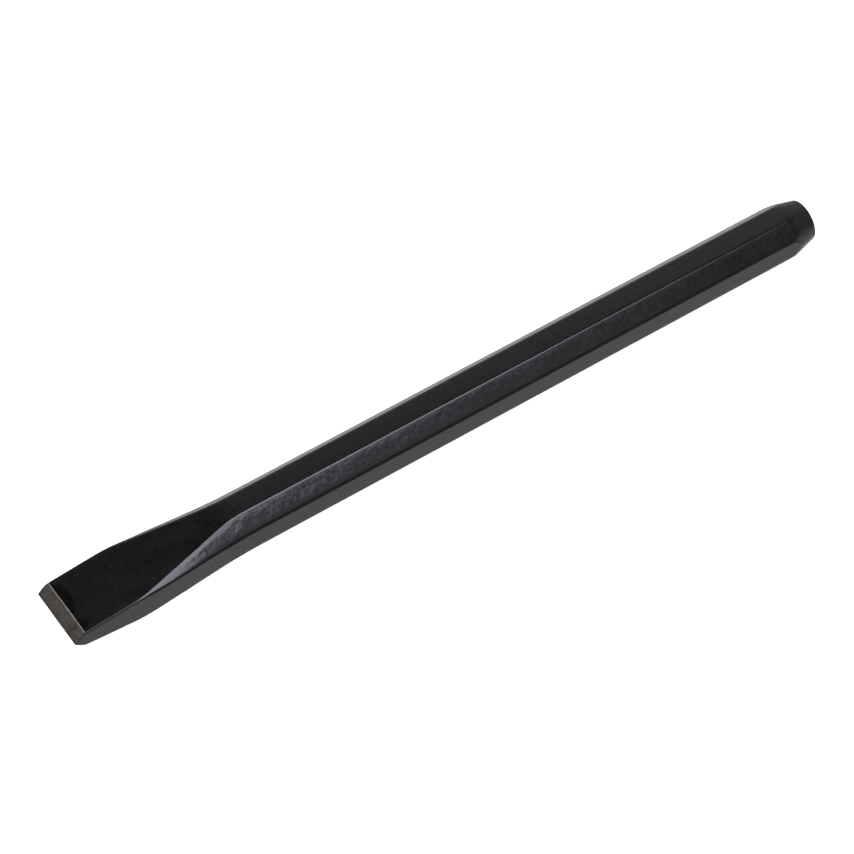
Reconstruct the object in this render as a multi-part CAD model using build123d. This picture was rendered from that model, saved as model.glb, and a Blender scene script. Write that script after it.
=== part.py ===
from build123d import *
import math
import os

# A flat cold chisel forged in one piece from octagonal tool-steel bar: a hollow-tapered
# blade with a convex ground edge, an eight-sided shank and a coned struck end.  A film of
# black paint covers it all over, except on the two bevels, which are ground after painting.
#
# The outline is worked out along the tool, from the cutting edge at 0 to the struck face at
# LENGTH, with the bar's axis at height 0.  The finished parts are then moved so that +X runs
# towards the struck face, the broad faces of the blade look up and down, and the origin is
# at the middle of the flat that the shank lies on.  All sizes are in millimetres, over the
# paint unless they say otherwise.

LENGTH = 305.0              # cutting edge to struck face
PAINT = 0.1                 # thickness of the paint film

# Shank: 19 mm octagon bar, rolled a little wider than it is high.
BAR_HEIGHT = 18.9           # across the top and bottom flats
BAR_WIDTH = 19.4            # across the side flats
TOP_FLAT_WIDTH = 8.4        # between the corner flats beside it, and so is the bottom one
SIDE_FLAT_HEIGHT = 8.5
BAR_EDGE_RADIUS = 1.3       # rolled rounding of the bar's long edges

# Blade: forged thinner and wider towards the edge, with slightly bulging sides.
BLADE_WIDTH = 25.4          # at its widest
EDGE_WIDTH = 25.2           # along the cutting edge
BLADE_WIDEST = 13.0
NECK_START = 22.0
NECK_END = 72.0             # the width is back to the bar's here
EDGE_THICKNESS = 6.25       # over the paint where the bevels begin
FACE_SLOPE = 0.0863         # rise of each broad face, per millimetre, at the bevels
FACE_HOLLOW = 5.2e-6        # and its growth, so that each face is slightly hollow
SHOULDER_BLEND = 0.8        # height over which a broad face eases into the bar's flat
CORNER_BREAK = 0.40         # small flat along the blade's long corners
CORNER_TAPER = 0.205        # how fast the bar's top flat widens into the blade's face
CORNER_FULL = 64.0          # from here on the bar's corner flats have their full width
SIDE_SWELL = 0.45           # the blade's side flats end this much higher than the bar's
SIDE_SWELL_START = 26.0
SIDE_SWELL_END = 38.0
TAPER_BLEND = 1.0           # softness of the turns in those lines
BREAK_BLEND = 0.8

# Cutting edge: two convex bevels that meet in a narrow land.
BEVEL_LENGTH = 4.4
BEVEL_BULGE = 0.28          # height of each bevel's curve over its chord
EDGE_LAND = 0.12            # width of the land at the very edge

# Struck end: a turned cone that cuts the octagon off to a round face.
STRUCK_DIAMETER = 15.7      # where the cone would meet the face
STRUCK_CONE_ANGLE = 14.0    # between the cone's side and the tool's axis
STRUCK_RIM_RADIUS = 0.5

# Construction.
FORGED_END = 82.0           # lofted up to here, plain bar beyond
STATION_STEP = 2.5
STOCK_PAST_EDGE = 3.0       # blank beyond the cutting edge, ground away
CLEAR = 20.0                # anything further from the axis than the tool

HALF_HEIGHT = BAR_HEIGHT / 2


def smooth_step(fraction):
    fraction = min(max(fraction, 0.0), 1.0)
    return fraction * fraction * (3 - 2 * fraction)


def soft_least(a, b, blend):
    ease = max(1 - abs(a - b) / blend, 0.0)
    return min(a, b) - ease ** 2 * blend / 4


def half_width(x):
    narrowing = smooth_step((x - NECK_START) / (NECK_END - NECK_START))
    bulge = (BLADE_WIDTH - EDGE_WIDTH) / 2 * max(1 - x / BLADE_WIDEST, 0.0) ** 2
    return BLADE_WIDTH / 2 - bulge + (BAR_WIDTH - BLADE_WIDTH) / 2 * narrowing


def half_thickness(x):
    behind_bevel = x - BEVEL_LENGTH
    face = EDGE_THICKNESS / 2 + FACE_SLOPE * behind_bevel + FACE_HOLLOW * behind_bevel ** 3
    return soft_least(face, HALF_HEIGHT, SHOULDER_BLEND)


def top_flat_edge(x):
    """Half the width of the top flat, between the corner flats beside it."""
    tapered = TOP_FLAT_WIDTH / 2 + CORNER_TAPER * (CORNER_FULL - x)
    tapered = -soft_least(-tapered, -TOP_FLAT_WIDTH / 2, TAPER_BLEND)
    return soft_least(tapered, half_width(x) - CORNER_BREAK, BREAK_BLEND)


def side_flat_edge(x):
    """Half the height of the side flat."""
    swell = 1 - smooth_step((x - SIDE_SWELL_START) / (SIDE_SWELL_END - SIDE_SWELL_START))
    tapered = SIDE_FLAT_HEIGHT / 2 + SIDE_SWELL * swell
    return soft_least(tapered, half_thickness(x) - CORNER_BREAK, BREAK_BLEND / 2)


def cross_section(x, inset):
    """The rounded octagon across the tool at x, drawn in by inset all round."""
    width = half_width(x)
    height = half_thickness(x)
    quarter = [(width, side_flat_edge(x)), (top_flat_edge(x), height)]
    leg = min(width - top_flat_edge(x), height - side_flat_edge(x))
    corners = quarter + [(-y, z) for y, z in reversed(quarter)]
    corners += [(-y, -z) for y, z in quarter] + [(y, -z) for y, z in reversed(quarter)]
    plane = Plane(origin=(x, 0, 0), x_dir=(0, 1, 0), z_dir=(1, 0, 0))
    octagon = Polygon(*corners, align=None)
    rounded = fillet(octagon.vertices(), min(BAR_EDGE_RADIUS, 1.6 * leg))
    return plane * offset(rounded, -inset, kind=Kind.INTERSECTION) if inset else plane * rounded


def turned_envelope(inset):
    """Everything inside the struck end's cone and face, drawn in by inset."""
    slope = math.tan(math.radians(STRUCK_CONE_ANGLE))
    radius = STRUCK_DIAMETER / 2
    outline = Polygon(
        (-CLEAR, -CLEAR), (LENGTH, -CLEAR), (LENGTH, radius),
        (LENGTH - (CLEAR - radius) / slope, CLEAR), (-CLEAR, CLEAR),
        align=None,
    )
    rim = outline.vertices().sort_by_distance(Vector(LENGTH, radius, 0))[0]
    outline = offset(fillet(rim, STRUCK_RIM_RADIUS), -inset) if inset else fillet(rim, STRUCK_RIM_RADIUS)
    half = outline & Rectangle(4 * LENGTH, CLEAR, align=(Align.CENTER, Align.MIN))
    return revolve(Plane.XZ * half, Axis.X)


def ground_envelope():
    """Everything behind the two bevels, through the tool's whole width."""
    land = EDGE_LAND / 2
    rise = EDGE_THICKNESS / 2 - land
    chord = math.hypot(BEVEL_LENGTH, rise)
    bulge_x = BEVEL_LENGTH / 2 - BEVEL_BULGE * rise / chord
    bulge_z = land + rise / 2 + BEVEL_BULGE * BEVEL_LENGTH / chord
    upper = ThreePointArc((0, land), (bulge_x, bulge_z), (BEVEL_LENGTH, EDGE_THICKNESS / 2))
    leave = upper % 1
    far = upper @ 1 + leave * (2 * CLEAR)
    back = Polyline(upper @ 1, far, (LENGTH + CLEAR, far.Y), (LENGTH + CLEAR, 0))
    top = Curve() + [upper, back]
    outline = make_face(top + mirror(top, Plane.XZ) + Line((0, land), (0, -land)))
    return extrude(Plane.XZ * outline, CLEAR, both=True)


def blank(inset):
    """The tool before its edge is ground, drawn in by inset all round."""
    count = round((FORGED_END + STOCK_PAST_EDGE) / STATION_STEP)
    stations = [-STOCK_PAST_EDGE + STATION_STEP * number for number in range(count + 1)]
    forged = loft([cross_section(x, inset) for x in stations])
    shank = extrude(cross_section(FORGED_END, inset), LENGTH - FORGED_END)
    return (forged + shank) & turned_envelope(inset)


def in_place(shape):
    return Pos(-LENGTH / 2, 0, HALF_HEIGHT) * shape


os.makedirs("parts", exist_ok=True)

steel_blank = blank(PAINT)
ground = ground_envelope()

parts = {
    "forged_body": steel_blank & ground,
    "black_coating": (blank(0) - steel_blank) & ground,
}

for name, shape in parts.items():
    placed = in_place(shape)
    export_step(placed, f"parts/{name}.step")
    box = placed.bounding_box()
    print(name, len(placed.solids()), "solid", round(placed.volume, 1), "mm3", box.min, box.max)
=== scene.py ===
"""A cold chisel: bare ground steel under a film of black paint, on a pale studio floor."""
import math

import bpy
import numpy as np
from mathutils import Matrix, Vector, noise


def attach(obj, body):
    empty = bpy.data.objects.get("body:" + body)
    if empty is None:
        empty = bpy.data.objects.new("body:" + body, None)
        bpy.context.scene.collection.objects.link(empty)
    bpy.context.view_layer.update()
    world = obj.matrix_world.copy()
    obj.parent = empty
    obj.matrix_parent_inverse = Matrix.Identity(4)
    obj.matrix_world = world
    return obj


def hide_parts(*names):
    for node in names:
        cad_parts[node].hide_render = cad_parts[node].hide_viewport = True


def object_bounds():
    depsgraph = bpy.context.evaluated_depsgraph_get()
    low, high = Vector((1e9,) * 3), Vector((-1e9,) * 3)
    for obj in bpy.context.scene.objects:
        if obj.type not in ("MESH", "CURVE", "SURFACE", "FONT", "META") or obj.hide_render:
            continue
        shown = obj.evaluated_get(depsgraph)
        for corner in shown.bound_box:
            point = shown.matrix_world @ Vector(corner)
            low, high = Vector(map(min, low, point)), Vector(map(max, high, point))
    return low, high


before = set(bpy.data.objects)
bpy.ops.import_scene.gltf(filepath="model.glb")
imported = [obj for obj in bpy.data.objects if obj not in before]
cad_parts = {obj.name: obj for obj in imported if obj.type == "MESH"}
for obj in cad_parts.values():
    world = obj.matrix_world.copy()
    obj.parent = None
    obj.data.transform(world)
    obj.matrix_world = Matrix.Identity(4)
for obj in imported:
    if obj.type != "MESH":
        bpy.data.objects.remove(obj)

cad_low, cad_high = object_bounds()

MM = 0.001

# ---- sizes, in millimetres ------------------------------------------------------------------
# x runs along the tool from the cutting edge at 0 to the struck face; y and z are measured
# from the bar's axis.
LENGTH = (cad_high.x - cad_low.x) / MM
HALF_HEIGHT = 9.45          # of the bar
HALF_BAR_WIDTH = 9.7
PAINT = 0.1                 # the film's thickness

HALF_TOP_FLAT = 4.2         # between the corner flats beside it
HALF_SIDE_FLAT = 4.25
SIDE_EDGE_RADIUS = 2.4      # rolled rounding where a side flat meets a corner flat
NECK_EDGE_RADIUS = 1.2      # and where the corner flats begin, at the neck
RADIUS_PER_RISE = 0.5       # in between it grows with the corner flat's rise
TOP_EDGE_RADIUS = 1.4       # where a corner flat meets the top or bottom flat
RADIUS_PER_LEG = 1.65       # a radius is at most this times the corner flat's shorter leg
CORNER_CROWN = 0.015        # the corner flats and the top and bottom ones are slightly full
TOP_CROWN = 0.03

HALF_BLADE = 12.7
HALF_EDGE = 12.6            # at the cutting edge
BLADE_WIDEST = 13.0         # the blade is at its widest from here
NECK_START = 22.0           # to here
NECK_END = 72.0             # and the bar's width from here on
EDGE_HALF_THICKNESS = 3.125  # right behind the bevels
FACE_SLOPE = 0.0863         # of the blade's broad faces
FACE_HOLLOW = 5.2e-6
SHOULDER_BLEND = 0.8        # where they run into the bar's top and bottom flats
CORNER_BREAK = 0.40         # the blade's long edges are broken this much
BREAK_BLEND = 0.8
CORNER_TAPER = 0.205        # how fast the corner flats grow in the neck
CORNER_FULL = 64.0          # and where they reach their full size
TAPER_BLEND = 1.0
SIDE_SWELL = 0.45           # the side flats are this much taller before the neck
SIDE_SWELL_START = 26.0
SIDE_SWELL_END = 38.0

BEVEL_LENGTH = 4.4
BEVEL_BULGE = 0.28
LAND = 0.06                 # half the height of the flat that is left at the cutting edge
BEVEL_FADE = 25.0           # behind the bevels the mesh's rings straighten out over this
LAND_FADE = 8.0             # and their points on the side flats spread out evenly over this
BARE_STRIP = 0.15           # steel left bare behind each bevel, where the paint was ground off
BARE_SIDE = 0.05            # and at the bevels' ends
BARE_RAGGED = 0.08          # the paint's edge wanders this much, over these lengths in y and z
BARE_RAGGED_SIZE = (1.7, 1.2)
BARE_RAGGED_SHIFT = 3.0
BARE_FADE = 3.0             # behind it the paint's rings straighten out over this
STRIP_DROP = 0.05           # the bare strip is rounded down this much
SIDE_BREAK = 0.30           # the bevels' ends are rounded over this

STRUCK_RADIUS = 7.85
STRUCK_SLOPE = math.tan(math.radians(14.0))
STRUCK_RIM = 0.5
CONE_SOFTNESS = 0.4
DRAWN_IN_OVER = 2.5         # the struck end's last rings are drawn in along the tool over this

RING_STEPS = 12             # of the search for a ring that follows the bevel

# Slow unevenness of the rolled and forged steel, the lumps of the paint on the bar's corner
# flats, and its fine lumps everywhere: depth, lengths along x, y and z, and a shift that gives
# each its own part of the noise.
STEEL_WAVES = [(0.030, (28, 9, 9), (0, 0, 0)), (0.012, (9, 6, 6), (40, 0, 0))]
CORNER_LUMPS = [(0.026, (3.0, 2.2, 2.2), (0, 0, 0)), (0.015, (1.0, 2.6, 2.6), (60, 0, 0))]
FINE_LUMPS = [(0.0012, (1.1, 1.1, 1.1), (0, 7, 0))]
LUMPS_START = 8.0           # they grow from nothing at the cutting edge to this far behind it
LUMPS_END = 1.5             # and stop over this before the struck face

# Where the corner flats' rough paint is, which also carries a painted bluish reflection: how much
# of it is on the rounding beside a side flat, and from which share of that rounding on, how fast
# it comes and goes across the flat, and where it comes in along the tool.
ROUGH_AND_BLUISH_ON_ROUNDING = 0.4
ROUGH_AND_BLUISH_PER_SHARE = 4
ROUGH_AND_BLUISH_START = 28.0
ROUGH_AND_BLUISH_RAMP = 24.0
OFF_CONE = 0.12             # it ends this far outside the struck end's cone

RUBBED_END = 22.0           # the blade's long edges are rubbed dull as far as this
RUBBED_RAMP = 6.0
BROAD_NORMAL = 0.9          # a face is broad from this height of its normal on
BROAD_RAMP = 0.08

# Where fine dust has settled: side of the blade, then the patch's middle and half its size
# along the tool and across it.
DUST_PATCHES = [
    (1, 23.0, -1.5, 8.0, 6.0), (1, 39.0, 2.5, 6.0, 4.0), (-1, 17.0, 3.0, 7.0, 6.5),
]

# Glossier patches of paint behind the bevels, with painted shade for their darker reflection: side
# of the blade, the patch's middle across it, half its length, and how far it reaches behind the
# bevel.
DARK_PATCHES = [
    (1, 3.6, 7.2, 3.6), (1, -9.2, 3.0, 2.4), (-1, -3.0, 6.0, 2.8), (-1, 8.0, 3.6, 3.2),
]
DARK_RAMP = 3.0             # their mask falls over this
DARK_END_SLOPE = 1.5        # and beyond a patch's ends it falls this fast


def smooth_step(fraction):
    fraction = np.clip(fraction, 0.0, 1.0)
    return fraction * fraction * (3 - 2 * fraction)


def soft_least(a, b, blend):
    ease = np.maximum(1 - np.abs(a - b) / blend, 0.0)
    return np.minimum(a, b) - ease ** 2 * blend / 4


def half_width(x):
    narrowing = smooth_step((x - NECK_START) / (NECK_END - NECK_START))
    bulge = (HALF_BLADE - HALF_EDGE) * np.maximum(1 - x / BLADE_WIDEST, 0.0) ** 2
    return HALF_BLADE - bulge + (HALF_BAR_WIDTH - HALF_BLADE) * narrowing


def half_thickness(x):
    behind = x - BEVEL_LENGTH
    face = EDGE_HALF_THICKNESS + FACE_SLOPE * behind + FACE_HOLLOW * behind ** 3
    return soft_least(face, HALF_HEIGHT, SHOULDER_BLEND)


def top_flat_edge(x):
    """Half the width of the top flat, between the corner flats beside it."""
    tapered = HALF_TOP_FLAT + CORNER_TAPER * (CORNER_FULL - x)
    tapered = -soft_least(-tapered, -HALF_TOP_FLAT, TAPER_BLEND)
    return soft_least(tapered, half_width(x) - CORNER_BREAK, BREAK_BLEND)


def side_flat_edge(x):
    """Half the height of the side flat."""
    swell = 1 - smooth_step((x - SIDE_SWELL_START) / (SIDE_SWELL_END - SIDE_SWELL_START))
    tapered = HALF_SIDE_FLAT + SIDE_SWELL * swell
    return soft_least(tapered, half_thickness(x) - CORNER_BREAK, BREAK_BLEND / 2)


def bevel_x(height):
    """How far behind the cutting edge a bevel is at this height above the middle plane."""
    rise = EDGE_HALF_THICKNESS - LAND
    chord = math.hypot(BEVEL_LENGTH, rise)
    radius = (chord * chord / 4 + BEVEL_BULGE ** 2) / (2 * BEVEL_BULGE)
    drop = radius - BEVEL_BULGE
    centre_x = BEVEL_LENGTH / 2 + drop * rise / chord
    centre_z = LAND + rise / 2 - drop * BEVEL_LENGTH / chord
    climb = np.minimum(np.abs(height) - centre_z, radius)
    return centre_x - np.sqrt(radius ** 2 - climb ** 2)


# ---- the ring of points round the tool ------------------------------------------------------
# One quarter of it, from the side flat's middle over the corner flat to the top flat's middle.
# The other three quarters mirror it.
SIDE, SIDE_ROUND, CORNER, TOP_ROUND, TOP = range(5)
HALF_SIDE_POINTS = 8
ROUND_STEPS = 8
CORNER_STEPS = 14
HALF_TOP_POINTS = 10


def quarter_layout():
    """Each point's part of the quarter, and its share of the way along that part."""
    def half_flat(kind, count):
        return [(kind, (2 * i + 1) / (2 * count - 1)) for i in range(count - 1)]

    layout = half_flat(SIDE, HALF_SIDE_POINTS)
    layout += [(SIDE_ROUND, i / ROUND_STEPS) for i in range(ROUND_STEPS + 1)]
    layout += [(CORNER, i / CORNER_STEPS) for i in range(1, CORNER_STEPS)]
    layout += [(TOP_ROUND, i / ROUND_STEPS) for i in range(ROUND_STEPS + 1)]
    layout += reversed(half_flat(TOP, HALF_TOP_POINTS))
    return np.array([kind for kind, _ in layout]), np.array([share for _, share in layout])


KIND, SHARE = quarter_layout()
QUARTER = len(KIND)
RING = 4 * QUARTER


def by_kind(side, side_round, corner, top_round, top):
    """Each point's own one of five values."""
    kinds = [KIND == kind for kind in (SIDE, SIDE_ROUND, CORNER, TOP_ROUND)]
    return np.select(kinds, [side, side_round, corner, top_round], top)


def quarter_points(station, inset, drop=0.0, side_drop=0.0):
    """Points and ring normals of one quarter, for stations along the tool, drawn in by inset.

    drop takes a little more off the top, and side_drop off the side.
    """
    behind = np.asarray(station, float)
    behind = behind[:, None] if behind.ndim == 1 else behind
    behind = np.broadcast_to(behind, (behind.shape[0], QUARTER))
    fade = 1 - smooth_step(behind / BEVEL_FADE)
    even = smooth_step(behind / LAND_FADE)
    x = behind.copy()
    for _ in range(RING_STEPS):
        width, height = half_width(x), half_thickness(x)
        leg, rise = width - top_flat_edge(x), height - side_flat_edge(x)
        most = RADIUS_PER_LEG * np.minimum(leg, rise)
        side_radius = np.maximum(NECK_EDGE_RADIUS, RADIUS_PER_RISE * rise)
        side_radius = np.minimum(np.minimum(SIDE_EDGE_RADIUS, side_radius), most)
        top_radius = np.minimum(TOP_EDGE_RADIUS, most)
        tilt = np.arctan2(leg, rise)
        across, up = np.cos(tilt), np.sin(tilt)
        side_z = height - rise - side_radius * up / (1 + across)
        side_y = width - side_radius
        top_y = width - leg - top_radius * across / (1 + up)
        top_z = height - top_radius
        corner_start = side_y + side_radius * across, side_z + side_radius * up
        corner_end = top_y + top_radius * across, top_z + top_radius * up
        turn = by_kind(
            0 * tilt, SHARE * tilt, tilt, tilt + SHARE * (math.pi / 2 - tilt), math.pi / 2,
        )
        normal_y, normal_z = np.cos(turn), np.sin(turn)
        first = SHARE[0]
        at_edge = LAND + (side_z - LAND) * (SHARE - first) / (1 - first)
        side = at_edge + (SHARE * side_z - at_edge) * even
        y = by_kind(
            width,
            side_y + side_radius * normal_y,
            corner_start[0] + (corner_end[0] - corner_start[0]) * SHARE,
            top_y + top_radius * normal_y,
            top_y * SHARE,
        )
        z = by_kind(
            side,
            side_z + side_radius * normal_z,
            corner_start[1] + (corner_end[1] - corner_start[1]) * SHARE,
            top_z + top_radius * normal_z,
            height,
        )
        full_corner = HALF_BAR_WIDTH - HALF_TOP_FLAT
        crown = by_kind(
            0 * leg,
            0 * leg,
            CORNER_CROWN * (1 - (2 * SHARE - 1) ** 2) * leg / full_corner,
            0 * leg,
            TOP_CROWN * (1 - SHARE ** 2),
        )
        y = y + (crown - inset - side_drop) * normal_y
        z = z + (crown - inset - drop) * normal_z
        x = behind + fade * bevel_x(z)
    return x, y, z, normal_y, normal_z


def struck_radius(x, inset):
    """The cone's radius at x, and inside the rim's rounding the rim's."""
    cone = STRUCK_RADIUS + (LENGTH - x) * STRUCK_SLOPE - inset * math.hypot(1, STRUCK_SLOPE)
    rim = STRUCK_RIM - inset
    lean = math.atan(STRUCK_SLOPE)
    rim_x = LENGTH - STRUCK_RIM
    rim_centre = STRUCK_RADIUS + STRUCK_RIM * STRUCK_SLOPE - STRUCK_RIM / math.cos(lean)
    inside = np.clip(x - rim_x, 0, rim)
    rounded = rim_centre + np.sqrt(np.maximum(rim ** 2 - inside ** 2, 0))
    return np.where(x > rim_x + rim * math.sin(lean), rounded, cone)


def all_round(x, y, z, normal_y, normal_z):
    """Mirrors the quarter into the whole ring."""
    def joined(values, second=1, third=1, fourth=1):
        back = values[:, ::-1]
        return np.concatenate([values, second * back, third * values, fourth * back], axis=1)

    return (
        joined(x), joined(y, -1, -1, 1), joined(z, 1, -1, -1),
        joined(normal_y, -1, -1, 1), joined(normal_z, 1, -1, -1),
    )


def on_ring(quarter):
    """A quarter's values on the whole ring."""
    return np.concatenate([quarter, quarter[::-1], quarter, quarter[::-1]])


def side_rounding(behind):
    """How far the bevels' ends are rounded in, this far behind the bevel."""
    left = np.maximum(SIDE_BREAK - behind, 0)
    return SIDE_BREAK - np.sqrt(SIDE_BREAK ** 2 - left ** 2)


def surface(station, inset, drop=0.0):
    """Points and ring normals of whole rings, cut off by the struck end's cone."""
    station = np.asarray(station, float)
    side_drop = side_rounding(station if station.ndim == 2 else station[:, None])
    x, y, z, normal_y, normal_z = all_round(*quarter_points(station, inset, drop, side_drop))
    x = x - inset * smooth_step((x - LENGTH + DRAWN_IN_OVER) / DRAWN_IN_OVER)
    radius = np.hypot(y, z)
    kept = soft_least(radius, struck_radius(x, inset), CONE_SOFTNESS) / radius
    return x, y * kept, z * kept, normal_y, normal_z


def lumps(layers, x, y, z):
    """How high the layers' lumps stand at these points."""
    def level(point, lengths, shift):
        return noise.noise(Vector([p / l + s for p, l, s in zip(point, lengths, shift)]))

    def height(point):
        return sum(depth * level(point, lengths, shift) for depth, lengths, shift in layers)

    flat = np.stack([x, y, z], axis=-1).reshape(-1, 3)
    return np.array([height(point) for point in flat]).reshape(x.shape)


def faded(lift, x):
    """Lumps that fade out at both the tool's ends."""
    return lift * smooth_step(x / LUMPS_START) * smooth_step((LENGTH - x) / LUMPS_END)


# ---- masks ----------------------------------------------------------------------------------
def on_corner_flat(x, y, z):
    """1 on the bar's four corner flats, which are rougher than the others and carry a painted
    bluish reflection, and 0 elsewhere.
    """
    rounding = smooth_step((SHARE - ROUGH_AND_BLUISH_ON_ROUNDING) / (1 - ROUGH_AND_BLUISH_ON_ROUNDING))
    across = np.minimum(ROUGH_AND_BLUISH_ON_ROUNDING + SHARE * ROUGH_AND_BLUISH_PER_SHARE, (1 - SHARE) * ROUGH_AND_BLUISH_PER_SHARE)
    nowhere = np.zeros(QUARTER)
    quarter = by_kind(
        nowhere, ROUGH_AND_BLUISH_ON_ROUNDING * rounding, smooth_step(across), nowhere, nowhere,
    )
    off_cone = smooth_step((struck_radius(x, 0.0) - np.hypot(y, z)) / OFF_CONE)
    return on_ring(quarter) * off_cone * smooth_step((x - ROUGH_AND_BLUISH_START) / ROUGH_AND_BLUISH_RAMP)


def blade_edges(x):
    """1 on the long edges of the blade, where the paint is rubbed dull, and 0 elsewhere."""
    quarter = np.isin(KIND, (SIDE_ROUND, CORNER, TOP_ROUND)).astype(float)
    return on_ring(quarter) * (1 - smooth_step((x - RUBBED_END) / RUBBED_RAMP))


def dusty(x, y, z):
    """1 in the middle of the dust's patches, 0 from their rims on."""
    field = np.zeros_like(x)
    for side, middle_x, middle_y, half_length, half_breadth in DUST_PATCHES:
        out = np.hypot((x - middle_x) / half_length, (y - middle_y) / half_breadth)
        field = np.maximum(field, np.where(z * side > 0, 1 - smooth_step(out), 0))
    return field


def dark_edge(x, y, z):
    """Above 0.5 inside the dark patches, below it outside."""
    field = np.zeros_like(x)
    for side, middle, half_length, depth in DARK_PATCHES:
        across = np.abs(y - middle) / half_length
        reach = depth * np.sqrt(np.maximum(1 - across ** 2, 0))
        reach = reach - DARK_END_SLOPE * np.maximum(across - 1, 0)
        inside = np.clip(0.5 + (reach - (x - BEVEL_LENGTH)) / DARK_RAMP, 0, 1)
        field = np.maximum(field, np.where(z * side > 0, inside, 0))
    return field


# ---- meshes ---------------------------------------------------------------------------------
OUTER_START = [0.0, 0.08, 0.18, 0.35, 0.6, 1.0, 1.5]        # the first rings' places
INNER_START = [0.0, 0.5, 1.5]
STEEL_START = [0.0, 0.06, 0.12, 0.19, 0.27, 0.4, 0.8, 1.5]
OUTER_STEPS = 0.5, 0.4      # between the rings along the tool, and along the cone
INNER_STEPS = 2.0, 1.0
STEEL_STEPS = 1.5, 0.8
CONE_RINGS = 13.0           # the cone's closer rings start this far from the struck face
RIM_ANGLES = range(20, 91, 10)
DISC_RINGS = [0.85, 0.65, 0.45, 0.25, 0.1]
SHARP_EDGE = 35             # degrees
BRIGHT_START = 0.03         # the painted highlight line on the bare steel, behind the bevel
BRIGHT_END = BARE_STRIP + 0.13
BRIGHT_NORMAL = 0.95


def placed(x, y, z):
    """Millimetres along the tool to metres in the row's frame."""
    return np.stack([
        cad_low.x + x * MM,
        y * MM,
        cad_low.z + (z + HALF_HEIGHT) * MM,
    ], axis=-1)


def ring_faces(low, high, flip=False):
    """Quads between two rings that start at these indices."""
    faces = []
    for j in range(RING):
        k = (j + 1) % RING
        quad = (low + j, low + k, high + k, high + j)
        faces.append(quad[::-1] if flip else quad)
    return faces


def tube_faces(rings, first, flip=False):
    """Quads between rings of points that start at index first."""
    faces = []
    for low in range(first, first + (rings - 1) * RING, RING):
        faces += ring_faces(low, low + RING, flip)
    return faces


def make_piece(name, points, faces, masks, material):
    mesh = bpy.data.meshes.new(name)
    mesh.from_pydata([tuple(p) for p in points], [], faces)
    mesh.polygons.foreach_set("use_smooth", [True] * len(mesh.polygons))
    mesh.set_sharp_from_angle(angle=math.radians(SHARP_EDGE))
    for mask, values in masks.items():
        padded = np.zeros(len(points), np.float32)
        padded[:len(values)] = values
        mesh.attributes.new(mask, "FLOAT", "POINT").data.foreach_set("value", padded)
    mesh.materials.append(material)
    mesh.validate()
    mesh.update()
    piece = bpy.data.objects.new(name, mesh)
    bpy.context.scene.collection.objects.link(piece)
    return piece


def stations(start_steps, step, cone_step):
    """Places of the rings along the tool, closer at both ends."""
    rim = [LENGTH - STRUCK_RIM + STRUCK_RIM * math.sin(math.radians(a)) for a in RIM_ANGLES]
    cone_start = LENGTH - CONE_RINGS
    body = np.arange(start_steps[-1] + step, cone_start, step)
    cone = np.arange(cone_start, rim[0] - cone_step / 2, cone_step)
    return np.array([*start_steps, *body, *cone, *rim])


def disc(points, faces, ring_start, flip=False):
    """Closes a ring with rings that shrink to one middle point."""
    base = np.array(points[ring_start:ring_start + RING])
    centre = base.mean(axis=0)
    last = ring_start
    for share in DISC_RINGS:
        first = len(points)
        points.extend(centre + (base - centre) * share)
        faces += ring_faces(last, first, flip)
        last = first
    points.append(centre)
    for j in range(RING):
        triangle = (last + j, last + (j + 1) % RING, len(points) - 1)
        faces.append(triangle[::-1] if flip else triangle)


def paint_edge():
    """How far behind the bevel the paint starts, round the ring: a slightly ragged line."""
    _, y, z, _, normal_z = surface(np.array([0.0]), 0.0)
    across, up = y[0] / BARE_RAGGED_SIZE[0], z[0] / BARE_RAGGED_SIZE[1]
    ragged = [noise.noise(Vector((p, q, BARE_RAGGED_SHIFT))) for p, q in zip(across, up)]
    on_face = smooth_step(np.abs(normal_z[0]) * 1.5 - 0.5)      # 1 on the broad faces
    return BARE_SIDE + (BARE_STRIP - BARE_SIDE + BARE_RAGGED * np.array(ragged)) * on_face


def quarter_mean(ring_values):
    """The four quarters' mean, in the first quarter's order."""
    a, b, c, d = np.split(ring_values, 4)
    return (a + b[::-1] + c + d[::-1]) / 4


def paint_film():
    edge = quarter_mean(paint_edge())
    points, faces, masks = [], [], {}

    def skin(places, inset):
        start = places[:, None] + edge[None, :] * (1 - smooth_step(places / BARE_FADE))[:, None]
        x, y, z, normal_y, normal_z = surface(start, inset)
        lift = lumps(STEEL_WAVES, x, y, z)
        if inset == 0:      # the outer skin, which shows
            corner_flat = on_corner_flat(x, y, z)
            lift = lift + (corner_flat * lumps(CORNER_LUMPS, x, y, z) + lumps(FINE_LUMPS, x, y, z))
            masks["corner_flat"] = corner_flat.ravel()
            masks["dark_edge"] = dark_edge(x, y, z).ravel()
            masks["dusty"] = dusty(x, y, z).ravel()
            masks["blade_edges"] = blade_edges(x).ravel()
            broad = (np.abs(normal_z) - BROAD_NORMAL) / BROAD_RAMP
            masks["broad_face"] = smooth_step(broad).ravel()
        lift = faded(lift, x)
        return placed(x, y + lift * normal_y, z + lift * normal_z)

    for start, steps, inset in (
        (OUTER_START, OUTER_STEPS, 0.0), (INNER_START, INNER_STEPS, PAINT),
    ):
        places = stations(start, *steps)
        first, inner = len(points), inset > 0
        points.extend(skin(places, inset).reshape(-1, 3))
        faces += tube_faces(len(places), first, flip=inner)
        disc(points, faces, first + (len(places) - 1) * RING, flip=inner)
    faces += [(j, first + j, first + (j + 1) % RING, (j + 1) % RING) for j in range(RING)]
    return points, faces, masks


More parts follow.
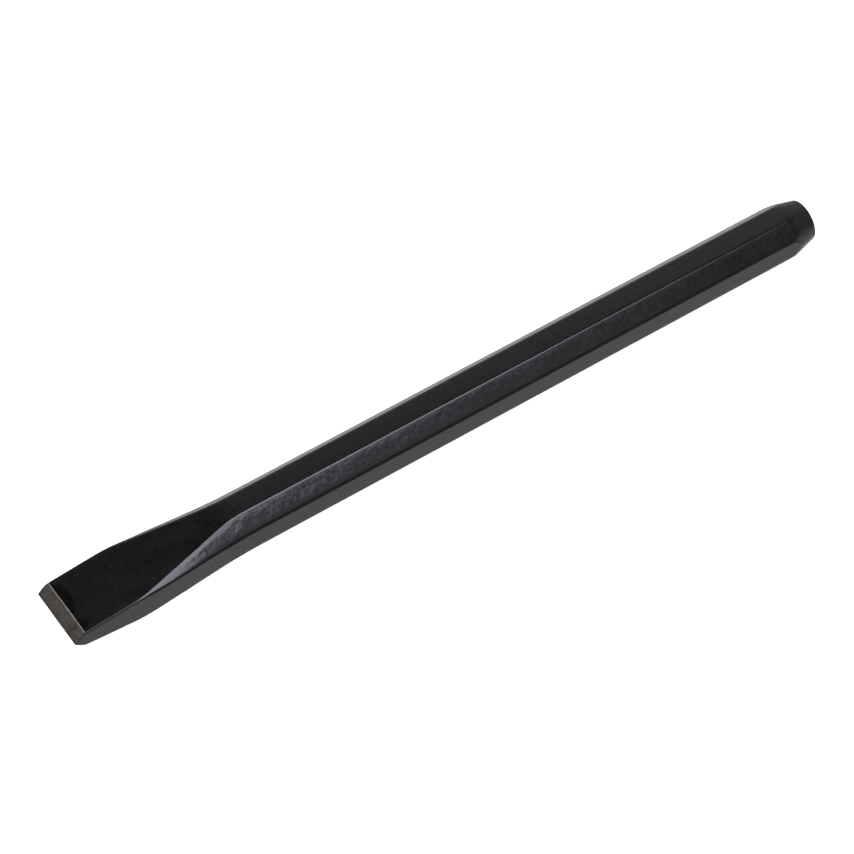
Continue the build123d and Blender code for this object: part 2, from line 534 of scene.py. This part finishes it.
def steel_body():
    places = stations(STEEL_START, *STEEL_STEPS)
    drop = STRIP_DROP * np.clip(1 - places / BARE_STRIP, 0, 1) ** 2
    x, y, z, normal_y, normal_z = surface(places, PAINT, drop[:, None])
    lift = faded(lumps(STEEL_WAVES, x, y, z), x)
    skin = placed(x, y + lift * normal_y, z + lift * normal_z)
    points, faces = list(skin.reshape(-1, 3)), tube_faces(len(places), 0)
    disc(points, faces, (len(places) - 1) * RING)
    bevel_faces(points, faces)
    # where the painted highlight line goes, on the bare steel behind the bevel
    on_strip = (places > BRIGHT_START) & (places < BRIGHT_END)
    bright = on_strip[:, None] * (np.abs(normal_z) > BRIGHT_NORMAL)
    return points, faces, {"bright_edge": bright.astype(float).ravel()}


def bevel_faces(points, faces):
    """Fills the two bevels and the land between the left and right halves of the first ring."""
    top_half = int(np.sum(KIND == TOP))
    columns = 2 * top_half + 1
    rows = QUARTER - top_half
    lands = []
    for right, left, step, flip in (
        (0, 2 * QUARTER - 1, 1, False),
        (4 * QUARTER - 1, 2 * QUARTER, -1, True),
    ):
        last = right + step * (rows - 1)
        breadth = points[last][1] - points[left - step * (rows - 1)][1]
        shares = [
            (points[last][1] - points[last + step * column][1]) / breadth
            for column in range(1, columns)
        ]
        grid = []
        for row in range(rows - 1):
            start, end = right + step * row, left - step * row
            first = len(points)
            points.extend([points[start] + (points[end] - points[start]) * s for s in shares])
            grid.append([start, *range(first, len(points)), end])
        grid.append([last + step * column for column in range(columns + 1)])
        for row in range(rows - 1):
            for column in range(columns):
                quad = (grid[row][column], grid[row + 1][column],
                        grid[row + 1][column + 1], grid[row][column + 1])
                faces.append(quad[::-1] if flip else quad)
        lands.append(grid[0])
    upper, lower = lands
    for column in range(columns):
        faces.append((lower[column], upper[column], upper[column + 1], lower[column + 1]))


# ---- materials ------------------------------------------------------------------------------
class Tree:
    """A node tree, with shorthands for the nodes that materials and the world share."""

    def __init__(self, tree):
        self.tree = tree

    def put(self, socket, value):
        if isinstance(value, bpy.types.NodeSocket):
            self.tree.links.new(value, socket)
        else:
            socket.default_value = value

    def maths(self, operation, *values):
        node = self.tree.nodes.new("ShaderNodeMath")
        node.operation = operation
        for socket, value in zip(node.inputs, values):
            self.put(socket, value)
        return node.outputs["Value"]

    def total(self, start, *terms):
        """start plus, for each term, its value times its amount."""
        for value, amount in terms:
            start = self.maths("MULTIPLY_ADD", value, amount, start)
        return start

    def ease(self, value, low, high, to_low=0.0, to_high=1.0):
        node = self.tree.nodes.new("ShaderNodeMapRange")
        node.interpolation_type = "SMOOTHSTEP"
        for name, number in (
            ("From Min", low), ("From Max", high), ("To Min", to_low), ("To Max", to_high),
        ):
            node.inputs[name].default_value = number
        self.put(node.inputs["Value"], value)
        return node.outputs["Result"]


class Nodes(Tree):
    """A material's node tree. Coordinates are in mm, from the tool's middle."""

    def __init__(self, name):
        self.material = bpy.data.materials.new(name)
        self.material.use_nodes = True
        super().__init__(self.material.node_tree)
        self.shader = self.tree.nodes["Principled BSDF"]
        place = self.tree.nodes.new("ShaderNodeTexCoord").outputs["Object"]
        scaled = self.tree.nodes.new("ShaderNodeVectorMath")
        scaled.operation = "SCALE"
        scaled.inputs["Scale"].default_value = 1 / MM
        self.put(scaled.inputs[0], place)
        self.place = scaled.outputs["Vector"]

    def stretched(self, lengths, turn=(0, 0, 0), shift=(0, 0, 0)):
        """The coordinates divided by a feature's lengths along x, y and z.

        A shift gives each texture a part of the noise of its own.
        """
        node = self.tree.nodes.new("ShaderNodeMapping")
        node.inputs["Rotation"].default_value = [math.radians(angle) for angle in turn]
        node.inputs["Scale"].default_value = [1 / length for length in lengths]
        node.inputs["Location"].default_value = shift
        self.put(node.inputs["Vector"], self.place)
        return node.outputs["Vector"]

    def noise(self, lengths, detail=2.0, turn=(0, 0, 0), shift=(0, 0, 0)):
        node = self.tree.nodes.new("ShaderNodeTexNoise")
        node.inputs["Scale"].default_value = 1.0
        node.inputs["Detail"].default_value = detail
        self.put(node.inputs["Vector"], self.stretched(lengths, turn, shift))
        return node.outputs["Fac"]

    def mix(self, share, a, b):
        node = self.tree.nodes.new("ShaderNodeMix")
        node.data_type = "RGBA"
        self.put(node.inputs[0], share)
        for socket, colour in zip((node.inputs[6], node.inputs[7]), (a, b)):
            self.put(socket, (*colour, 1) if isinstance(colour, tuple) else colour)
        return node.outputs[2]

    def mask(self, name):
        node = self.tree.nodes.new("ShaderNodeAttribute")
        node.attribute_name = name
        return node.outputs["Fac"]

    def along(self):
        """x, along the tool."""
        node = self.tree.nodes.new("ShaderNodeSeparateXYZ")
        self.put(node.inputs[0], self.place)
        return node.outputs["X"]

    def specks(self, spacing, smallest, largest, shift=(0, 0, 0)):
        """Round specks of different sizes, none in some of the cells."""
        node = self.tree.nodes.new("ShaderNodeTexVoronoi")
        node.inputs["Scale"].default_value = 1.0
        self.put(node.inputs["Vector"], self.stretched((spacing,) * 3, shift=shift))
        parts = self.tree.nodes.new("ShaderNodeSeparateColor")
        self.put(parts.inputs["Color"], node.outputs["Color"])
        size = self.ease(
            parts.outputs["Red"], SPECK_START, 1.0, smallest / spacing, largest / spacing)
        rim = self.maths("MULTIPLY", size, SPECK_RIM)
        inside = self.maths("DIVIDE", self.maths("SUBTRACT", size, node.outputs["Distance"]), rim)
        inside = self.maths("MINIMUM", self.maths("MAXIMUM", inside, 0.0), 1.0)
        return self.maths("MULTIPLY", inside, parts.outputs["Green"])

    def bump(self, height, depth):
        """Adds a bump of this depth, in mm, on top of the ones added before it."""
        node = self.tree.nodes.new("ShaderNodeBump")
        node.inputs["Strength"].default_value = 1.0
        node.inputs["Distance"].default_value = depth * MM
        self.put(node.inputs["Height"], height)
        if self.shader.inputs["Normal"].is_linked:
            self.put(node.inputs["Normal"], self.shader.inputs["Normal"].links[0].from_socket)
        self.put(self.shader.inputs["Normal"], node.outputs["Normal"])


SPECK_START = 0.2           # a speck grows with its cell's random number from here up
SPECK_RIM = 0.5             # it fades over this share of its radius

PAINT_IOR = 1.45
PAINT_DARK = (0.0078, 0.0074, 0.0067)
PAINT_LIGHT = (0.0142, 0.0134, 0.0124)
PAINT_BLUISH_REFLECTION = (0.0102, 0.0101, 0.0140)      # painted bluish reflection, on the corner flats
PAINT_DUST = (0.15, 0.145, 0.148)
PAINT_GLOSSY_PATCH_SHADE = (0.0030, 0.0024, 0.0020)   # painted shade in the dark, glossier patches behind the bevels
PAINT_BLUISH_REFLECTION_SHARE = 0.6

# Lengths of the paint's features along x, y and z, in mm.
CLOUD_SIZE = (16, 9, 9)
GRAIN_SIZE = (0.5, 0.5, 0.5)
HAZE_SIZE = (14, 9, 9)
BLOTCH_SIZE = (1.6, 3.0, 3.0)
RAGGED_SIZE = (1.1, 1.1, 1.1)
HAMMERED_SIZE = (1.3, 1.2, 1.2)
RUBBED_SIZE = (0.9, 2.0, 2.0)
ORANGE_PEEL_SIZE = (1.5, 1.5, 1.5)

# Specks: their spacing, smallest radius and largest radius, in mm.
DUST_SPECKS = (1.0, 0.05, 0.19)
FINE_SPECKS = (0.5, 0.05, 0.13)
NICK_SPECKS = (0.8, 0.04, 0.14)

GRAIN_CONTRAST = 0.4        # of the paint's colour
BROAD_GRAIN_CONTRAST = 3.6  # added to it on the broad faces
BLOTCH_CONTRAST = 2.2
BLADE_DUST = (-80, -110)    # there is more dust on the blade: x where that starts and ends
DUST_ANYWHERE = 0.2
DUST_ON_BLADE = 0.75
HAZE_RANGE = (0.42, 0.68)
HAZE_SHARE = 0.055
FINE_DUST = 0.15            # the fine dust's amount, and what haze and settled dust add to it
FINE_DUST_IN_HAZE = 0.5
FINE_DUST_SETTLED = 3.0
GLOSSY_PATCH_RAGGED = 1.5       # how far their noise moves the dark patches' rims
GLOSSY_PATCH_RANGE = (0.46, 0.56)

PAINT_ROUGHNESS = 0.17      # and what is added to it
CLOUD_ROUGHNESS = 0.08
GRAIN_ROUGHNESS = 0.03
HAMMERED_ROUGHNESS = 0.22
HAMMERED_LOW = 0.35         # the noise's level at which it adds nothing
CORNER_ROUGHNESS = -0.06
RUBBED_ROUGHNESS = 0.35
DUST_ROUGHNESS = 0.25
GLOSSY_PATCH_ROUGHNESS = -0.10

ORANGE_PEEL_DEPTH = 0.0025
BLOTCH_DEPTH = 0.055
HAMMERED_DEPTH = 0.034


def black_paint():
    nodes = Nodes("black_paint")
    shader = nodes.shader
    corner_flat, broad_face = nodes.mask("corner_flat"), nodes.mask("broad_face")
    on_blade = nodes.ease(nodes.along(), *BLADE_DUST)
    cloud = nodes.noise(CLOUD_SIZE)
    grain = nodes.maths("SUBTRACT", nodes.noise(GRAIN_SIZE, detail=3), 0.5)
    blotches = nodes.maths("SUBTRACT", nodes.noise(BLOTCH_SIZE, detail=3, shift=(0, 8, 3)), 0.5)
    blotches = nodes.maths("MULTIPLY", blotches, broad_face)
    haze = nodes.ease(nodes.noise(HAZE_SIZE, detail=3, shift=(2, 5, 0)), *HAZE_RANGE)
    haze = nodes.maths("MULTIPLY", haze, broad_face)

    contrast = nodes.total(GRAIN_CONTRAST, (broad_face, BROAD_GRAIN_CONTRAST))
    share = nodes.total(cloud, (grain, contrast), (blotches, BLOTCH_CONTRAST))
    colour = nodes.mix(nodes.ease(share, 0.0, 1.0), PAINT_DARK, PAINT_LIGHT)
    # painted bluish reflection: the corner flats' colour is tinted blue for the light they reflect
    colour = nodes.mix(nodes.maths("MULTIPLY", corner_flat, PAINT_BLUISH_REFLECTION_SHARE), colour, PAINT_BLUISH_REFLECTION)

    amount = nodes.total(DUST_ANYWHERE, (on_blade, DUST_ON_BLADE))
    amount = nodes.maths("MULTIPLY", broad_face, amount)
    dust = nodes.maths("MULTIPLY", nodes.specks(*DUST_SPECKS), amount)
    fine_dust = nodes.maths("MULTIPLY", nodes.specks(*FINE_SPECKS, shift=(9, 4, 2)), amount)
    fine_amount = nodes.total(
        FINE_DUST, (haze, FINE_DUST_IN_HAZE), (nodes.mask("dusty"), FINE_DUST_SETTLED))
    dust = nodes.maths("MAXIMUM", dust, nodes.maths("MULTIPLY", fine_dust, fine_amount))
    colour = nodes.mix(dust, colour, PAINT_DUST)
    haze = nodes.maths("MULTIPLY", nodes.maths("MULTIPLY", haze, on_blade), HAZE_SHARE)
    colour = nodes.mix(haze, colour, PAINT_DUST)

    # painted shade: inside the glossier patches behind the bevels the paint's colour is darkened
    # for their darker reflection
    ragged = nodes.total(
        -GLOSSY_PATCH_RAGGED / 2, (nodes.noise(RAGGED_SIZE, detail=5), GLOSSY_PATCH_RAGGED))
    dark = nodes.ease(nodes.maths("ADD", nodes.mask("dark_edge"), ragged), *GLOSSY_PATCH_RANGE)
    nodes.put(shader.inputs["Base Color"], nodes.mix(dark, colour, PAINT_GLOSSY_PATCH_SHADE))

    hammered = nodes.noise(HAMMERED_SIZE, detail=2, shift=(5, 0, 0))
    uneven = nodes.maths("MULTIPLY", nodes.maths("SUBTRACT", hammered, HAMMERED_LOW), corner_flat)
    rubbed = nodes.noise(RUBBED_SIZE, shift=(4, 4, 1))
    rubbed = nodes.maths("MULTIPLY", nodes.mask("blade_edges"), rubbed)
    nodes.put(shader.inputs["Roughness"], nodes.total(
        PAINT_ROUGHNESS, (cloud, CLOUD_ROUGHNESS), (grain, GRAIN_ROUGHNESS),
        (uneven, HAMMERED_ROUGHNESS), (corner_flat, CORNER_ROUGHNESS),
        (rubbed, RUBBED_ROUGHNESS), (dust, DUST_ROUGHNESS), (dark, GLOSSY_PATCH_ROUGHNESS)))
    shader.inputs["IOR"].default_value = PAINT_IOR

    nodes.bump(nodes.noise(ORANGE_PEEL_SIZE, detail=1), ORANGE_PEEL_DEPTH)
    nodes.bump(blotches, BLOTCH_DEPTH)
    nodes.bump(nodes.maths("MULTIPLY", hammered, corner_flat), HAMMERED_DEPTH)
    return nodes.material


STEEL_DARK = (0.215, 0.202, 0.170)
STEEL_LIGHT = (0.43, 0.404, 0.345)
STEEL_STAINED = (0.185, 0.162, 0.125)
STEEL_NICKED = (0.66, 0.64, 0.60)
STEEL_BURNISHED_HIGHLIGHT = (0.93, 0.91, 0.87)        # painted highlight on the bare, burnished steel line behind the bevels
STEEL_RANGE = (0.42, 0.58)  # of the marks' noise, from dark to light
STAIN_RANGE = (0.5, 0.7)
STAIN_SHARE = 0.8

# Lengths of the steel's features along x, y and z, in mm.
GRINDING_SIZE = (4.0, 0.10, 0.10)
GRINDING_ANGLE = 14         # degrees from the tool's length
MOTTLE_SIZE = (0.5, 0.5, 0.5)
STAIN_SIZE = (2.4, 3.2, 2.4)
BURNISHED_HIGHLIGHT_SIZE = (0.35, 0.45, 0.35)
BURNISHED_HIGHLIGHT_RANGE = (0.3, 0.55)
BURNISHED_HIGHLIGHT_LEAST = 0.45

STEEL_ROUGHNESS = 0.28      # and what is added to it
MOTTLE_ROUGHNESS = 0.20
BURNISHED_ROUGHNESS = 0.20
GRINDING_DEPTH = 0.0020
MOTTLE_DEPTH = 0.007


def ground_steel():
    nodes = Nodes("ground_steel")
    shader = nodes.shader
    lines = nodes.noise(GRINDING_SIZE, detail=2, turn=(0, 0, GRINDING_ANGLE))
    mottle = nodes.noise(MOTTLE_SIZE, detail=5)
    stain = nodes.noise(STAIN_SIZE, detail=5, shift=(3, 1, 0))

    share = nodes.total(nodes.maths("MULTIPLY", mottle, 0.5), (lines, 0.5))
    colour = nodes.mix(nodes.ease(share, *STEEL_RANGE), STEEL_DARK, STEEL_LIGHT)
    colour = nodes.mix(nodes.ease(stain, *STAIN_RANGE, 0.0, STAIN_SHARE), colour, STEEL_STAINED)
    colour = nodes.mix(nodes.specks(*NICK_SPECKS, shift=(0.3, 0.2, 0)), colour, STEEL_NICKED)
    # painted highlight: the bare steel line behind the bevels gets a near-white, patchy colour
    patchy = nodes.ease(nodes.noise(BURNISHED_HIGHLIGHT_SIZE), *BURNISHED_HIGHLIGHT_RANGE, BURNISHED_HIGHLIGHT_LEAST, 1.0)
    edge = nodes.maths("MULTIPLY", nodes.mask("bright_edge"), patchy)
    nodes.put(shader.inputs["Base Color"], nodes.mix(edge, colour, STEEL_BURNISHED_HIGHLIGHT))
    shader.inputs["Metallic"].default_value = 1.0
    nodes.put(shader.inputs["Roughness"], nodes.total(
        STEEL_ROUGHNESS, (mottle, MOTTLE_ROUGHNESS), (edge, BURNISHED_ROUGHNESS)))

    nodes.bump(lines, GRINDING_DEPTH)
    nodes.bump(mottle, MOTTLE_DEPTH)
    return nodes.material


for name, made, material, node, slot in (
    ("paint_film", paint_film(), black_paint(), "black_coating", "black_paint"),
    ("forged_steel", steel_body(), ground_steel(), "forged_body", "tool_steel"),
):
    piece = make_piece(name, *made, material)
    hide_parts(node)
    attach(piece, "root")


# ---- studio, in metres ----------------------------------------------------------------------
FLOOR_DARK = (0.84, 0.84, 0.84)
FLOOR_LIGHT = (0.87, 0.87, 0.87)
FLOOR_PAPER_SIZE = (1.5, 1.5, 1.5)
FLOOR_ROUGHNESS = 0.9
FLOOR_SHINE = 0.1
FLOOR_HALF_SIZE = 3.0
FLOOR_FILL = 3.7            # a light from above that only the floor gets
FILL_HEIGHT = 2.0
FILL_SIZE = 4.0

KEY_PLACE = (0.1955, -0.6035, 1.0615)
KEY_AIM = (-0.0095, 0.0165, 0.0115)
KEY_SIZE = (0.75, 0.674)
KEY_RADIANCE = 7.7
KEY_COLOUR = (0.86, 0.84, 1.0)
KEY_ROLL = 10.0             # degrees


def pale_floor():
    nodes = Nodes("pale_floor")
    paper = nodes.noise(FLOOR_PAPER_SIZE, detail=2)
    nodes.put(nodes.shader.inputs["Base Color"], nodes.mix(paper, FLOOR_DARK, FLOOR_LIGHT))
    nodes.shader.inputs["Roughness"].default_value = FLOOR_ROUGHNESS
    nodes.shader.inputs["Specular IOR Level"].default_value = FLOOR_SHINE
    return nodes.material


def floor():
    mesh = bpy.data.meshes.new("studio_floor")
    corners = [(-1, -1), (1, -1), (1, 1), (-1, 1)]
    mesh.from_pydata([(x * FLOOR_HALF_SIZE, y * FLOOR_HALF_SIZE, 0) for x, y in corners],
                     [], [(0, 1, 2, 3)])
    mesh.materials.append(pale_floor())
    piece = bpy.data.objects.new("studio_floor", mesh)
    bpy.context.scene.collection.objects.link(piece)
    piece.location.z = cad_low.z
    piece.visible_glossy = False
    return piece


def softbox(name, place, aim, size, radiance, colour, roll=0.0):
    light = bpy.data.lights.new(name, "AREA")
    light.shape = "RECTANGLE"
    light.size, light.size_y = size
    light.energy = radiance * math.pi * size[0] * size[1]
    light.color = colour
    lamp = bpy.data.objects.new(name, light)
    bpy.context.scene.collection.objects.link(lamp)
    lamp.location = place
    facing = (Vector(aim) - Vector(place)).to_track_quat("-Z", "Y").to_matrix()
    lamp.rotation_euler = (facing @ Matrix.Rotation(math.radians(roll), 3, "Z")).to_euler()
    lamp.visible_camera = False
    return lamp


class Sky(Tree):
    """The studio's walls, ceiling and lights, as levels by direction in the world's nodes."""

    def __init__(self):
        world = bpy.data.worlds.new("studio")
        bpy.context.scene.world = world
        world.use_nodes = True
        super().__init__(world.node_tree)
        where = self.tree.nodes.new("ShaderNodeTexCoord")
        axes = self.tree.nodes.new("ShaderNodeSeparateXYZ")
        self.put(axes.inputs[0], where.outputs["Generated"])
        self.x, self.y, self.z = axes.outputs

    def blend(self, share, a, b):
        node = self.tree.nodes.new("ShaderNodeMix")
        self.put(node.inputs["Factor"], share)
        self.put(node.inputs["A"], a)
        self.put(node.inputs["B"], b)
        return node.outputs["Result"]

    def levels(self, value, stops):
        """A level that follows value, from -1 to 1, through the stops."""
        node = self.tree.nodes.new("ShaderNodeMapRange")
        node.inputs["From Min"].default_value = -1
        self.put(node.inputs["Value"], value)
        curve = self.tree.nodes.new("ShaderNodeFloatCurve")
        points = curve.mapping.curves[0].points
        while len(points) < len(stops):
            points.new(0.5, 0.5)
        for point, (place, level) in zip(points, stops):
            point.location = ((place + 1) / 2, level / LEVEL_TOP)
            point.handle_type = "AUTO_CLAMPED"
        curve.mapping.update()
        self.put(curve.inputs["Value"], node.outputs["Result"])
        return self.maths("MULTIPLY", curve.outputs["Value"], LEVEL_TOP)


LEVEL_TOP = 2.0
# Levels by the sine of the angle above the horizon: towards the front (-Y), the front's left
# and right ends, and the back (+Y). The last two are by x: how much is taken from the front,
# and what the back is multiplied by.
FRONT_LEVELS = [
    (-1, 0.4), (-0.9, 0.6), (-0.76, 1.03), (-0.66, 0.45), (-0.55, 0.13), (-0.25, 0.09),
    (0.08, 0.11), (0.2, 0.2), (0.36, 0.72), (0.6, 0.52), (0.9, 0.25), (1, 0.2),
]
LEFT_LEVELS = [
    (-1, 0.9), (-0.5, 0.6), (-0.3, 0.42), (0, 0.3), (0.3, 0.55), (0.6, 0.75), (1, 0.5),
]
RIGHT_LEVELS = [
    (-1, 0.6), (-0.57, 0.75), (-0.36, 0.85), (-0.14, 0.55), (0.09, 0.30), (0.3, 0.34),
    (0.48, 0.48), (0.61, 0.30), (0.7, 0.15), (1, 0.15),
]
BACK_LEVELS = [
    (-1, 0.9), (-0.8, 0.9), (-0.5, 0.75), (0, 0.5), (0.2, 0.5), (0.5, 0.71), (0.68, 0.72),
    (0.76, 0.40), (0.9, 0.18), (1, 0.15),
]
FRONT_GAP = [(-1, 0), (0.36, 0), (0.48, 0.8), (0.58, 0.8), (0.66, 0), (1, 0)]
BACK_BY_X = [
    (-1, 0.3), (-0.3, 0.3), (0, 0.35), (0.1, 0.5), (0.2, 0.93), (0.45, 1.05), (0.65, 0.93),
    (1, 0.9),
]
# Where one of them gives way to the next, as the direction's x, y or z.
GAP_BOTTOM = (0.12, 0.3)
LEFT_FROM = (-0.35, -0.55)
RIGHT_FROM = (0.54, 0.66)
BACK_FROM = (-0.2, 0.4)

STRIP_LEVEL = 2.5           # a narrow light behind, to the right
STRIP_LEFT = (0.34, 0.46)
STRIP_RIGHT = (0.60, 0.5)
STRIP_BOTTOM = (-0.2, 0.0)
STRIP_TOP = (0.5, 0.3)
BACKDROP_LEVEL = 1.1        # the backdrop as the camera sees it
STUDIO_TINT = (1.0, 0.955, 1.01, 1)


def studio_world():
    sky = Sky()
    gap = sky.maths("MULTIPLY", sky.levels(sky.x, FRONT_GAP), sky.ease(sky.z, *GAP_BOTTOM))
    kept = sky.maths("SUBTRACT", 1.0, gap)
    front = sky.maths("MULTIPLY", sky.levels(sky.z, FRONT_LEVELS), kept)
    front = sky.blend(sky.ease(sky.x, *LEFT_FROM), front, sky.levels(sky.z, LEFT_LEVELS))
    front = sky.blend(sky.ease(sky.x, *RIGHT_FROM), front, sky.levels(sky.z, RIGHT_LEVELS))
    back = sky.maths("MULTIPLY", sky.levels(sky.z, BACK_LEVELS), sky.levels(sky.x, BACK_BY_X))
    strip = sky.ease(sky.x, *STRIP_LEFT)
    for value, edge in ((sky.x, STRIP_RIGHT), (sky.z, STRIP_BOTTOM), (sky.z, STRIP_TOP)):
        strip = sky.maths("MULTIPLY", strip, sky.ease(value, *edge))
    back = sky.total(back, (strip, STRIP_LEVEL))
    level = sky.blend(sky.ease(sky.y, *BACK_FROM), front, back)
    camera_ray = sky.tree.nodes.new("ShaderNodeLightPath").outputs["Is Camera Ray"]
    background = sky.tree.nodes["Background"]
    sky.put(background.inputs["Strength"], sky.blend(camera_ray, level, BACKDROP_LEVEL))
    background.inputs["Color"].default_value = STUDIO_TINT


def studio():
    ground = floor()
    key = softbox("key_softbox", KEY_PLACE, KEY_AIM, KEY_SIZE, KEY_RADIANCE, KEY_COLOUR, KEY_ROLL)
    key.visible_diffuse = False
    fill = softbox("floor_fill", (0, 0, FILL_HEIGHT), (0, 0, 0), (FILL_SIZE, FILL_SIZE),
                   FLOOR_FILL, (1, 1, 1))
    only_floor = bpy.data.collections.new("lit_floor")
    only_floor.objects.link(ground)
    fill.light_linking.receiver_collection = only_floor
    fill.light_linking.blocker_collection = only_floor
    studio_world()


CAMERA_AZIMUTH = math.radians(-30.39)
CAMERA_ELEVATION = math.radians(49.76)
CAMERA_ROLL = math.radians(-4.09)
CAMERA_DISTANCE = 1.0209
CAMERA_ASIDE = 0.00693
CAMERA_BELOW = 0.00582
CAMERA_LENS = 126.37        # mm, on the sensor's width
SENSOR_WIDTH = 36.0


def camera():
    data = bpy.data.cameras.new("camera")
    data.sensor_width = SENSOR_WIDTH
    data.lens = CAMERA_LENS
    cam = bpy.data.objects.new("camera", data)
    bpy.context.scene.collection.objects.link(cam)
    bpy.context.scene.camera = cam
    azimuth, elevation = CAMERA_AZIMUTH, CAMERA_ELEVATION
    away = Vector((math.sin(azimuth) * math.cos(elevation),
                   -math.cos(azimuth) * math.cos(elevation), math.sin(elevation)))
    right = (-away).cross(Vector((0, 0, 1))).normalized()
    up = right.cross(-away)
    right, up = (
        right * math.cos(CAMERA_ROLL) + up * math.sin(CAMERA_ROLL),
        up * math.cos(CAMERA_ROLL) - right * math.sin(CAMERA_ROLL),
    )
    middle = Vector(((cad_low.x + cad_high.x) / 2, 0, cad_low.z + HALF_HEIGHT * MM))
    cam.location = middle + away * CAMERA_DISTANCE - right * CAMERA_ASIDE - up * CAMERA_BELOW
    cam.rotation_mode = "QUATERNION"
    cam.rotation_quaternion = Matrix((right, up, away)).transposed().to_quaternion()


studio()
camera()
bpy.context.scene.view_settings.view_transform = "Standard"
